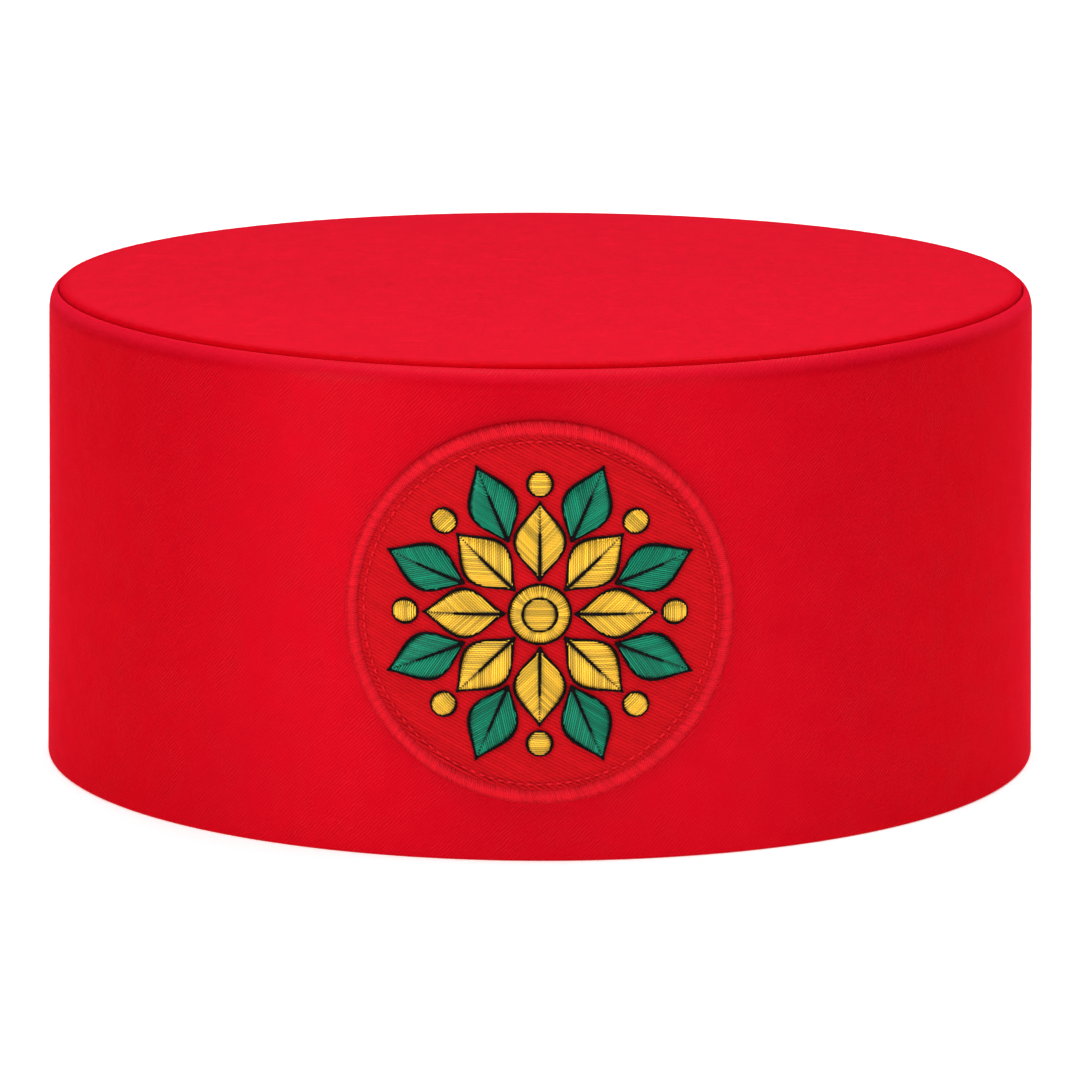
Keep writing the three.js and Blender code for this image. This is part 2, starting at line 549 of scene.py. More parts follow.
@dataclass(frozen=True)
class ThreadFinish(Finish):
    """Embroidery thread, whose strands carry their own twist and tint, with painted shade added to the tint.
    """

    twist: float
    tint_spread: float

    def build(self, effects: CommonEffects) -> Material:
        """Builds the material.

        Args:
            effects: The shared node groups.

        Returns:
            The finished material.
        """
        material, shader, principled = self.start()
        ply = shader.node("ShaderNodeGroup", node_tree=effects.ply)
        shader.fill(ply, {"Twist": self.twist, "Spread": self.tint_spread})
        worn = shader.noise(shader.place(), WEAR)
        tone = shader.math("MULTIPLY", ply.outputs["Tone"], shader.spread(worn, *WORN_TONES))
        roughening = shader.spread(worn, *WORN_ROUGHENING)
        self.dress(shader, principled, tone, ply.outputs["Height"], roughening)
        return material


# The finishes

SATIN_WALL = ClothFinish(
    name="red_satin_wall",
    colour=(0.565, 0.0009, 0.0095),
    roughness=0.52,
    metallic=0.6,
    specular=0.0,
    specular_tint=RED_GLOW,
    sheen=0.25,
    sheen_tint=RED_GLOW,
    coat=0.002,
    bump=0.5,
    bump_distance=0.00006,
    lie=Lie.ROUND_WALL,
    lines_per_metre=1300.0,
    slubs=0.25,
    mottle=0.25,
    glint=0.02,
    # Painted shade in the crease and a painted highlight along the folded edge
    crease_shade_colour=(0.55, 0.0006, 0.004),
    fold_highlight_colour=(0.65, 0.0055, 0.022),
    fold_highlight_metallic=0.1,
    fold_highlight_coat=0.004,
)
# The top's colour is pinker than the wall's: painted sheen, standing in for the grazing light on the top
SATIN_TOP_PAINTED_SHEEN = replace(
    SATIN_WALL,
    name="red_satin_top",
    colour=(0.6, 0.0065, 0.027),
    coat=0.022,
    lie=Lie.FLAT_TOP,
    slubs=2.5,
    mottle=0.6,
)
SATIN_BACK = replace(
    SATIN_WALL,
    name="red_satin_inside",
    colour=(0.42, 0.003, 0.01),
    roughness=0.8,
    metallic=0.0,
    bump=0.4,
    lines_per_metre=900.0,
)
RED_THREAD = ThreadFinish(
    name="red_border_thread",
    colour=(0.74, 0.0125, 0.025),
    roughness=0.42,
    metallic=0.25,
    specular=0.0,
    specular_tint=(1.0, 0.06, 0.09),
    sheen=0.08,
    sheen_tint=RED_GLOW,
    coat=0.0,
    bump=0.35,
    bump_distance=0.00004,
    twist=1.0,
    tint_spread=0.08,
)
TWILL = replace(
    RED_THREAD,
    name="red_twill",
    colour=(0.58, 0.0075, 0.0125),
    roughness=0.7,
    metallic=0.0,
    tint_spread=0.06,
)
GOLD_THREAD = replace(
    RED_THREAD,
    name="gold_thread",
    colour=(0.86, 0.52, 0.03),
    roughness=0.33,
    metallic=0.6,
    specular=0.3,
    specular_tint=(1.0, 0.95, 0.85),
    sheen=0.05,
    sheen_tint=(1.0, 0.85, 0.5),
    coat=0.07,
    tint_spread=0.32,
)
GREEN_THREAD = replace(
    GOLD_THREAD,
    name="green_thread",
    colour=(0.001, 0.235, 0.128),
    specular_tint=(0.5, 1.0, 0.9),
    coat=0.035,
    sheen_tint=(0.4, 1.0, 0.8),
    tint_spread=0.3,
)
BLACK_THREAD = replace(
    RED_THREAD,
    name="black_thread",
    colour=(0.006, 0.004, 0.005),
    roughness=0.7,
    metallic=0.0,
    specular=0.05,
    specular_tint=WHITE,
    sheen=0.0,
    tint_spread=0.3,
)


# Mesh helpers

def arc(centre: Sequence[float], radii: Sequence[float], span: Sequence[float], steps: int) -> Profile:
    """Points along an arc in the (r, z) plane.

    Args:
        centre: The arc's middle.
        radii: Its radii along r and along z.
        span: The angles that it runs between.
        steps: How many pieces it is cut into.

    Returns:
        The points, both ends included.
    """
    angles = np.linspace(span[0], span[1], steps + 1)
    return [(centre[0] + radii[0] * math.cos(a), centre[1] + radii[1] * math.sin(a)) for a in angles]


def spun(profile: Profile, steps: int, closed: bool) -> Shell:
    """Spins (r, z) points a full turn about Z, one wedge at a time because long spins are slow.

    Args:
        profile: The points, in order.
        steps: How many sides the turn has, a multiple of WEDGES.
        closed: Whether the last point joins the first.

    Returns:
        The spun shell, with its doubles merged and its faces pointing out.
    """
    shell = bmesh.new()
    points = [shell.verts.new((0.0, -r, z)) for r, z in profile]
    edges = [shell.edges.new(pair) for pair in zip(points, points[1:])]
    if closed:
        edges.append(shell.edges.new((points[-1], points[0])))
    bmesh.ops.spin(
        shell,
        geom=points + edges,
        cent=(0.0, 0.0, 0.0),
        axis=tuple(UP),
        angle=TURN / WEDGES,
        steps=steps // WEDGES,
    )
    wedge = [*shell.verts, *shell.edges, *shell.faces]
    for i in range(1, WEDGES):
        copied = bmesh.ops.duplicate(shell, geom=wedge)["geom"]
        corners = [part for part in copied if isinstance(part, bmesh.types.BMVert)]
        bmesh.ops.rotate(shell, matrix=Matrix.Rotation(TURN * i / WEDGES, 3, "Z"), verts=corners)
    bmesh.ops.remove_doubles(shell, verts=shell.verts, dist=MERGE_DISTANCE)
    bmesh.ops.recalc_face_normals(shell, faces=shell.faces)
    return shell


def domed(sides: int, rows: int, place: Callable[[Vector], Sequence[float]]) -> Shell:
    """Shapes a sphere into the padding under a stitched shape.

    Args:
        sides: The sphere's columns.
        rows: The sphere's rows.
        place: What gives a point's place from where it is on a sphere of radius 1.

    Returns:
        The shaped shell, with its faces pointing out.
    """
    shell = bmesh.new()
    bmesh.ops.create_uvsphere(shell, u_segments=sides, v_segments=rows, radius=1.0)
    for vert in shell.verts:
        vert.co = place(vert.co)
    bmesh.ops.recalc_face_normals(shell, faces=shell.faces)
    return shell


def smooth(mesh: Mesh) -> None:
    """Shades all the faces of a mesh smooth."""
    mesh.polygons.foreach_set("use_smooth", [True] * len(mesh.polygons))


def to_mesh(name: str, shell: Shell) -> Mesh:
    """Turns a bmesh into a smooth-shaded mesh and frees it.

    Args:
        name: The mesh's name.
        shell: The bmesh.

    Returns:
        The new mesh.
    """
    mesh = bpy.data.meshes.new(name)
    shell.to_mesh(mesh)
    shell.free()
    smooth(mesh)
    return mesh


def points_of(mesh: Mesh) -> Array:
    """Reads the points of a mesh.

    Args:
        mesh: The mesh to read.

    Returns:
        Their places, one in each row.
    """
    points = np.empty(len(mesh.vertices) * 3)
    mesh.vertices.foreach_get("co", points)
    return points.reshape(-1, 3)


def reshape(mesh: Mesh, move: Callable[[Array], Array]) -> None:
    """Moves all the points of a mesh by a function of their places."""
    mesh.vertices.foreach_set("co", move(points_of(mesh)).ravel())
    mesh.update()


def store(mesh: Mesh, label: str, values: Array) -> None:
    """Stores a value on each point of a mesh for its finish to read."""
    attribute = mesh.attributes.new(label, "FLOAT", "POINT")
    attribute.data.foreach_set("value", values)


def mark(mesh: Mesh, label: str, measure: Callable[[Array], Array]) -> None:
    """Stores a measure of each point's place, kept from 0 to 1, before the mesh is reshaped."""
    store(mesh, label, np.clip(measure(points_of(mesh)), 0.0, 1.0))


def add_piece(
    mesh: Mesh, materials: Iterable[Material], slot: Slot, replaced: Iterable[str] = ()
) -> bpy.types.Object:
    """Puts a finished mesh in the scene as a piece that rides on the cap.

    Args:
        mesh: The finished mesh, in place.
        materials: Its materials, in the order of its faces' indices.
        slot: The record's slot that it takes its finish from; not used.
        replaced: The CAD nodes that it stands for.

    Returns:
        The new piece.
    """
    piece = bpy.data.objects.new(mesh.name, mesh)
    bpy.context.scene.collection.objects.link(piece)
    for material in materials:
        mesh.materials.append(material)
    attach(piece, "root")
    nodes = list(replaced)
    if nodes:
        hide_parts(*nodes)
    LOG.info("%s: %d faces, stands for %s", piece.name, len(mesh.polygons), nodes or "no node")
    return piece


def reach_of(points: Array) -> Array:
    """Returns the distance of each point from the cap's axis."""
    return np.hypot(points[:, 0], points[:, 1])


def bearing_of(points: Array) -> Array:
    """Returns the angle of each point round the cap, zero at the front and growing to the right."""
    return np.arctan2(points[:, 0], -points[:, 1])


# The cap's cloth

@dataclass(frozen=True)
class Ripple:
    """A smooth, repeatable unevenness round the cap, made of a few waves."""

    seed: int
    slowest: int
    fastest: int
    waves: int
    depth: float

    def at(self, angle: Array) -> Array:
        """Adds up the waves.

        Args:
            angle: Angles round the cap.

        Returns:
            The ripple's offset at each of them.
        """
        draw = np.random.default_rng(self.seed)
        counts = draw.integers(self.slowest, self.fastest + 1, self.waves)
        phases = draw.uniform(0.0, TURN, self.waves)
        return self.depth * np.sin(angle[:, None] * counts + phases).sum(axis=1) / math.sqrt(self.waves)


@dataclass(frozen=True)
class CapShape:
    """The sizes that the band, the disc and the patch share."""

    rim_radius: float
    wall: float = 0.002
    shoulder_inset: float = 0.00133
    fold_start: float = 0.0873
    fold_radius: float = 0.0022
    fold_sweep: float = math.radians(55.0)
    lip_radius: float = 0.0005
    front_dip: float = 0.00113
    back_dip: float = 0.0003

    @property
    def fold_centre(self) -> tuple[float, float]:
        """The middle of the wide arc of the fold, as (r, z)."""
        return self.rim_radius - self.shoulder_inset - self.fold_radius, self.fold_start

    @property
    def lip_centre(self) -> tuple[float, float]:
        """The middle of the tight arc that turns the fold down into the crease.

        Returns:
            The middle, as (r, z).
        """
        reach = self.fold_radius - self.lip_radius
        r, z = self.fold_centre
        return r + reach * math.cos(self.fold_sweep), z + reach * math.sin(self.fold_sweep)

    @property
    def crease_radius(self) -> float:
        """The radius of the crease between the band and the disc."""
        return self.lip_centre[0] - self.lip_radius

    @property
    def lip_top(self) -> float:
        """The height of the fold's highest line."""
        return self.lip_centre[1] + self.lip_radius

    def wall_radius(self, height: Array | float) -> Array | float:
        """Returns the radius of the band's outer face at a height."""
        return self.rim_radius - self.shoulder_inset * height / self.fold_start

    def dip(self, points: Array) -> Array:
        """Works out the dip of the top edge, which is deepest at the front and less at the back.

        Args:
            points: The places of a cloth's points.

        Returns:
            How far the dip lowers each point.
        """
        reach = reach_of(points)
        forward = -points[:, 1] / np.maximum(reach, MERGE_DISTANCE)
        depth = np.where(forward > 0.0, self.front_dip, self.back_dip) * forward**2
        outward = np.minimum(1.0, reach / self.crease_radius)
        return depth * (points[:, 2] / self.fold_start) * outward**2


@dataclass
class SideBand:
    """The round wall: a rim, a slightly waisted wall and a fold that turns down into the crease."""

    shape: CapShape
    sides: int = 960
    rim_rounding: float = 0.0006
    rim_steps: int = 4
    fold_height: float = 0.0042
    fold_sweep: float = math.radians(75.0)
    fold_steps: int = 16
    lip: float = 0.0003
    lip_steps: int = 8
    # How far below the fold's top the painted highlight ends, and over what height it fades out
    fold_highlight_depth: float = 0.0027
    fold_highlight_fade: float = 0.0018
    waist: float = 0.0001
    wall_rows: int = 30
    inner_stride: int = 4
    inside_share: float = 0.7
    turning_depth: float = 0.0028
    turning_slope: float = 0.0008
    turning_slack: float = 1.01
    seam_reach: float = 0.003
    seam_cuts: int = 5
    seam_depth: float = 0.00035
    seam_width: float = 0.0005
    seam_lip_rise: float = 0.25
    seam_lip_offset: float = 3.0
    seam_lip_width: float = 2.0
    sway: Ripple = Ripple(seed=11, slowest=2, fastest=7, waves=5, depth=0.00012)
    sway_span: float = 0.8
    gathers: Ripple = Ripple(seed=12, slowest=70, fastest=230, waves=24, depth=0.00002)
    gather_drop: float = 0.002
    gather_fade: float = 0.004

    def build(self, outside: Material, inside: Material) -> bpy.types.Object:
        """Builds the band and dresses it.

        Args:
            outside: The finish of the face that shows.
            inside: The finish of the face towards the head.

        Returns:
            The finished piece.
        """
        shell = spun(self._profile(), self.sides, closed=True)
        self._refine_back_seam(shell)
        self._mark_inside(shell)
        mesh = to_mesh("band_cloth", shell)
        # Masks of painted shade in the crease and of a painted highlight along the folded edge
        mark(mesh, CREASE_SHADE, self._crease_shade)
        mark(mesh, FOLD_HIGHLIGHT, self._fold_highlight)
        reshape(mesh, self._settle)
        return add_piece(mesh, (outside, inside), Slot.RED_SATIN, ("side_band",))

    def _profile(self) -> Profile:
        """Draws the section of the band.

        Returns:
            Its (r, z) points, from the rim up the outside and down the inside.
        """
        shape = self.shape
        rounding = (self.rim_rounding, self.rim_rounding)
        inner_rim = shape.rim_radius - shape.wall
        turning_end = shape.lip_centre[1] - self.turning_depth
        rise, run = math.sin(self.fold_sweep), math.cos(self.fold_sweep)
        lip_middle = (shape.crease_radius + self.lip, shape.lip_top - self.lip)
        fold_foot = lip_middle[1] + self.lip * rise - self.fold_height * rise
        shoulder = shape.wall_radius(fold_foot)
        fold_width = (shoulder - lip_middle[0] - self.lip * run) / (1.0 - run)
        fold_middle = (shoulder - fold_width, fold_foot)
        fold_radii = (fold_width, self.fold_height)
        wall = [
            (shape.wall_radius(z) - self.waist * math.sin(math.pi * z / fold_foot) ** 2, z)
            for z in np.linspace(0.0, fold_foot, self.wall_rows + 2)[1:-1]
        ]
        return [
            *arc((shape.rim_radius - rounding[0], rounding[1]), rounding, (-QUARTER, 0.0), self.rim_steps),
            *wall,
            *arc(fold_middle, fold_radii, (0.0, self.fold_sweep), self.fold_steps),
            *arc(lip_middle, (self.lip, self.lip), (self.fold_sweep, math.pi), self.lip_steps)[1:],
            (shape.crease_radius, turning_end),
            (shape.wall_radius(turning_end) - shape.wall, turning_end - self.turning_slope),
            *((r - shape.wall, z) for r, z in wall[:: -self.inner_stride][1:]),
            *arc((inner_rim + rounding[0], rounding[1]), rounding, (-math.pi, -QUARTER), self.rim_steps),
        ]

    def _refine_back_seam(self, shell: Shell) -> None:
        """Cuts the columns at the middle of the back finely enough for the closing seam.

        Args:
            shell: The spun band.
        """
        near = []
        for edge in shell.edges:
            first, last = (v.co for v in edge.verts)
            flat = abs(first.z - last.z) < MERGE_DISTANCE
            level = flat and abs(first.xy.length - last.xy.length) < MERGE_DISTANCE
            middle = (first + last) / 2.0
            if level and middle.y > 0.0 and abs(middle.x) < self.seam_reach:
                near.append(edge)
        bmesh.ops.subdivide_edges(shell, edges=near, cuts=self.seam_cuts, use_grid_fill=True)

    def _mark_inside(self, shell: Shell) -> None:
        """Gives the faces towards the head the second finish.

        Args:
            shell: The spun band.
        """
        for face in shell.faces:
            middle = face.calc_center_median()
            depth = self.shape.wall_radius(middle.z) - middle.xy.length
            if depth > self.shape.wall * self.inside_share and middle.z < self.shape.fold_start:
                face.material_index = 1

    def _crease_shade(self, points: Array) -> Array:
        """Measures the turn into the crease, which is the mask of the painted shade there.

        Args:
            points: The places of the band's points.

        Returns:
            How far each point has turned down into the crease.
        """
        inward = self.shape.crease_radius + self.lip - reach_of(points)
        on_lip = points[:, 2] > self.shape.lip_centre[1] - self.turning_depth * self.turning_slack
        return np.where(on_lip, inward / self.lip, 0.0)

    def _fold_highlight(self, points: Array) -> Array:
        """Measures the painted highlight along the folded edge.

        Args:
            points: The places of the band's points.

        Returns:
            How much painted highlight each point gets: fully along the folded edge, less down the wall.
        """
        below = self.shape.lip_top - points[:, 2]
        outer = reach_of(points) > self.shape.crease_radius + self.lip / 2.0
        return np.where(outer, (self.fold_highlight_depth - below) / self.fold_highlight_fade, 0.0)

    def _settle(self, points: Array) -> Array:
        """Sways the wall, gathers the fold, presses the closing seam in and dips the top edge.

        Args:
            points: The places of the band's points.

        Returns:
            Their new places.
        """
        shape = self.shape
        angle = bearing_of(points)
        reach = reach_of(points)
        height = points[:, 2]
        share = np.clip(height / shape.fold_start, 0.0, 1.0)
        offset = self.sway.at(angle) * np.sin(math.pi * share * self.sway_span)
        near_fold = np.clip((height - shape.fold_start + self.gather_drop) / self.gather_fade, 0.0, 1.0)
        offset += self.gathers.at(angle) * near_fold
        outer = shape.wall_radius(height) - reach < shape.wall / 2.0
        from_seam = (math.pi - np.abs(angle)) * shape.rim_radius
        pressed = np.exp(-((from_seam / self.seam_width) ** 2))
        from_lip = from_seam - self.seam_lip_offset * self.seam_width
        lips = np.exp(-((from_lip / (self.seam_lip_width * self.seam_width)) ** 2))
        drawn_in = self.seam_lip_rise * self.seam_depth * lips - self.seam_depth * pressed
        offset += np.where(outer, drawn_in, 0.0)
        scale = (reach + offset) / reach
        moved = points * np.stack((scale, scale, np.ones_like(scale)), axis=1)
        moved[:, 2] -= shape.dip(points)
        return moved


@dataclass
class TopDisc:
    """The tip: slightly crowned, with an edge that rolls into the crease and turns in below it."""

    shape: CapShape
    sides: int = 960
    rise: float = 0.00097
    crown: float = 0.0004
    crown_rows: int = 40
    under_stride: int = 4
    under_tilt: float = -0.3
    roll_width: float = 0.0009
    roll_squareness: float = 1.25
    roll_steps: int = 16
    seam_gap: float = 0.00018
    # How far in from the edge the painted shade of the crease reaches
    seam_reach: float = 0.0022
    skirt_wall: float = 0.0015
    skirt_depth: float = 0.0042
    skirt_chamfer: float = 0.0008
    sway: Ripple = Ripple(seed=21, slowest=2, fastest=5, waves=4, depth=0.00012)
    sway_gain: float = 6.0
    gathers: Ripple = Ripple(seed=22, slowest=70, fastest=230, waves=24, depth=0.00002)

    def build(self, outside: Material, inside: Material) -> bpy.types.Object:
        """Builds the disc and dresses it.

        Args:
            outside: The finish of the face that shows.
            inside: The finish of the face towards the head.

        Returns:
            The finished piece.
        """
        shell = spun(self._profile(), self.sides, closed=False)
        for face in shell.faces:
            if face.normal.z < self.under_tilt or face.calc_center_median().z < self.shape.fold_start:
                face.material_index = 1
        mesh = to_mesh("top_cloth", shell)
        # Mask of the painted shade in the crease
        mark(mesh, CREASE_SHADE, self._crease_shade)
        reshape(mesh, self._settle)
        return add_piece(mesh, (outside, inside), Slot.RED_SATIN, ("top_disc",))

    @property
    def edge(self) -> float:
        """The radius of the disc's outermost line, in the crease."""
        return self.shape.crease_radius - self.seam_gap

    @property
    def roll_top(self) -> float:
        """The radius where the crown ends and the roll begins."""
        return self.edge - self.roll_width

    def _profile(self) -> Profile:
        """Draws the section of the disc.

        Returns:
            Its (r, z) points, from the middle of its underside round to the middle of its top.
        """
        shape = self.shape
        edge_top = shape.lip_top + self.rise
        foot = shape.lip_centre[1]
        radii = self.roll_top * np.sin(np.linspace(0.0, QUARTER, self.crown_rows + 1))
        crown = [(r, edge_top + self.crown * (1.0 - (r / self.roll_top) ** 2)) for r in radii]
        skirt_inside = self.edge - self.skirt_wall
        skirt_foot = edge_top - self.skirt_depth
        power = 1.0 / self.roll_squareness
        roll = [
            (self.roll_top + self.roll_width * abs(x) ** power, foot + (edge_top - foot) * abs(y) ** power)
            for x, y in arc((0.0, 0.0), (1.0, 1.0), (0.0, QUARTER), self.roll_steps)
        ]
        return [
            *((r, z - shape.wall) for r, z in crown[: -1 : self.under_stride]),
            (skirt_inside - self.skirt_chamfer, edge_top - shape.wall),
            (skirt_inside, edge_top - shape.wall - self.skirt_chamfer),
            (skirt_inside, skirt_foot),
            (self.edge, skirt_foot),
            *roll,
            *crown[-2::-1],
        ]

    def _crease_shade(self, points: Array) -> Array:
        """Returns how close each point is to the disc's edge, which is the mask of the painted shade in the
        crease.
        """
        return 1.0 - (self.edge - reach_of(points)) / self.seam_reach

    def _settle(self, points: Array) -> Array:
        """Sways the crown, gathers the roll and dips the edge.

        Args:
            points: The places of the disc's points.

        Returns:
            Their new places.
        """
        angle = bearing_of(points)
        reach = reach_of(points)
        moved = points.copy()
        share = np.clip(reach / self.roll_top, 0.0, 1.0)
        moved[:, 2] += self.sway.at(angle) * share**2 * (1.0 - share) * self.sway_gain
        on_roll = np.clip((reach - self.roll_top) / self.roll_width, 0.0, 1.0)
        moved[:, 2] += self.gathers.at(angle) * np.sin(math.pi * on_roll) ** 2
        moved[:, 2] -= self.shape.dip(points)
        return moved


# The patch and its embroidery

@dataclass
class StrandField:
    """Many short threads gathered into one mesh, each a tapered tube of a few faces."""

    sides: int = 5
    ply_length: float = 0.0006
    ply_slant: float = 0.4
    taper_power: int = 8
    # How close to a thread's ends its painted shade stays
    end_shade_power: int = 4
    points: list[Array] = field(default_factory=list)
    faces: list[tuple[int, ...]] = field(default_factory=list)
    ply: list[Array] = field(default_factory=list)
    tint: list[Array] = field(default_factory=list)
    count: int = 0

    def add(
        self,
        path: Array,
        half_width: float,
        half_height: float,
        tint: float | Array,
        side: Array | None = None,
        end_size: float = 0.35,
        end_shade: float = 0.0,
    ) -> None:
        """Adds a thread.

        Args:
            path: The thread's centre line.
            half_width: Half its width along the surface.
            half_height: Half its thickness off the surface.
            tint: Its own lightness, mostly from -1 to 1, or one value for each point of its path.
            side: Which way its width runs at each point; level by default.
            end_size: How much of its section is left at its ends.
            end_shade: Painted shade at its ends, added to its lightness.
        """
        tangent = np.gradient(path, axis=0)
        tangent /= np.linalg.norm(tangent, axis=1, keepdims=True)
        across = np.cross(UP, tangent) if side is None else side
        across = across - tangent * np.sum(across * tangent, axis=1, keepdims=True)
        across /= np.linalg.norm(across, axis=1, keepdims=True)
        rise = np.cross(tangent, across)
        run = run_along(path)
        share = np.abs(2.0 * run / run[-1] - 1.0)
        taper = (1.0 - (1.0 - end_size) * share**self.taper_power)[:, None, None]
        angle = TURN * np.arange(self.sides) / self.sides
        wide = half_width * np.cos(angle)[None, :, None] * across[:, None, :]
        high = half_height * np.sin(angle)[None, :, None] * rise[:, None, :]
        rings = path[:, None, :] + taper * (wide + high)
        slanted = run[:, None] / self.ply_length + self.ply_slant * np.cos(angle)[None, :]
        self._skin(len(path))
        # Painted shade: the thread darkens towards its ends
        lightness = tint + end_shade * share**self.end_shade_power
        self._keep(rings.reshape(-1, 3), slanted.ravel(), np.repeat(lightness, self.sides))

    def _skin(self, rows: int) -> None:
        """Skins a thread's rings with faces.

        Args:
            rows: How many rings the thread has.
        """
        base, sides = self.count, self.sides
        for i in range(rows - 1):
            low, high = base + i * sides, base + (i + 1) * sides
            for j in range(sides):
                k = (j + 1) % sides
                self.faces.append((low + j, low + k, high + k, high + j))
        self.faces.append(tuple(base + j for j in reversed(range(sides))))
        self.faces.append(tuple(base + (rows - 1) * sides + j for j in range(sides)))

    def _keep(self, points: Array, ply: Array, tint: Array) -> None:
        """Keeps the points of a thread or a shell.

        Args:
            points: Their places.
            ply: How often the ply has twisted at each.
            tint: The lightness at each.
        """
        self.points.append(points)
        self.ply.append(ply)
        self.tint.append(tint)
        self.count += len(points)

    def add_shell(self, shell: Shell, tint: float) -> None:
        """Adds a closed shape under the threads and frees it.

        Args:
            shell: The shape.
            tint: Its lightness, which the callers set to a painted shade for what shows between the threads.
        """
        shell.verts.index_update()
        corners = np.array([v.co for v in shell.verts])
        self.faces.extend(tuple(self.count + v.index for v in face.verts) for face in shell.faces)
        self._keep(corners, np.zeros(len(corners)), np.full(len(corners), tint))
        shell.free()

    def to_mesh(self, name: str, lay: Callable[[Array], Array]) -> Mesh:
        """Joins the field into one smooth mesh.

        Args:
            name: The mesh's name.
            lay: What lays the flat patch's points onto the cap.

        Returns:
            The mesh, with the attributes that the thread finishes read.
        """
        mesh = bpy.data.meshes.new(name)
        mesh.from_pydata(lay(np.concatenate(self.points)).tolist(), [], self.faces)
        store(mesh, PLY, np.concatenate(self.ply))
        store(mesh, TINT_AND_SHADE, np.concatenate(self.tint))
        smooth(mesh)
        mesh.update()
        return mesh


def run_along(path: Array) -> Array:
    """Returns the distance along a path at each of its points."""
    return np.concatenate(([0.0], np.cumsum(np.linalg.norm(np.diff(path, axis=0), axis=1))))


def around(reach: Array | float, bearing: Array | float, height: Array) -> Array:
    """Returns flat points at distances and bearings round the patch's middle, with their heights."""
    return np.stack((reach * np.sin(bearing), reach * np.cos(bearing), height), axis=1)


def turned(flat: Array, bearing: float) -> Array:
    """Turns flat points clockwise about the patch's middle.

    Args:
        flat: The points.
        bearing: The angle to turn them by.

    Returns:
        The turned points.
    """
    sin, cos = math.sin(bearing), math.cos(bearing)
    spin = np.array(((cos, -sin, 0.0), (sin, cos, 0.0), (0.0, 0.0, 1.0)))
    return flat @ spin


@dataclass(frozen=True)
class PatchPlace:
    """Where the flat patch lies on the band: x across it, y up it and z off it."""

    shape: CapShape
    centre: float = 0.045
    squeeze: float = 0.975
    gap: float = 0.0003
    radius: float = 0.035
    border_width: float = 0.0025
    ground_top: float = 0.001

    def lay(self, flat: Array) -> Array:
        """Lays flat points round the front of the band.

        Args:
            flat: The points of the flat patch.

        Returns:
            Their places on the cap.
        """
        height = self.centre + flat[:, 1] * self.squeeze
        radius = self.shape.wall_radius(height) + self.gap + flat[:, 2]
        angle = flat[:, 0] / self.shape.rim_radius
        return np.stack((radius * np.sin(angle), -radius * np.cos(angle), height), axis=1)


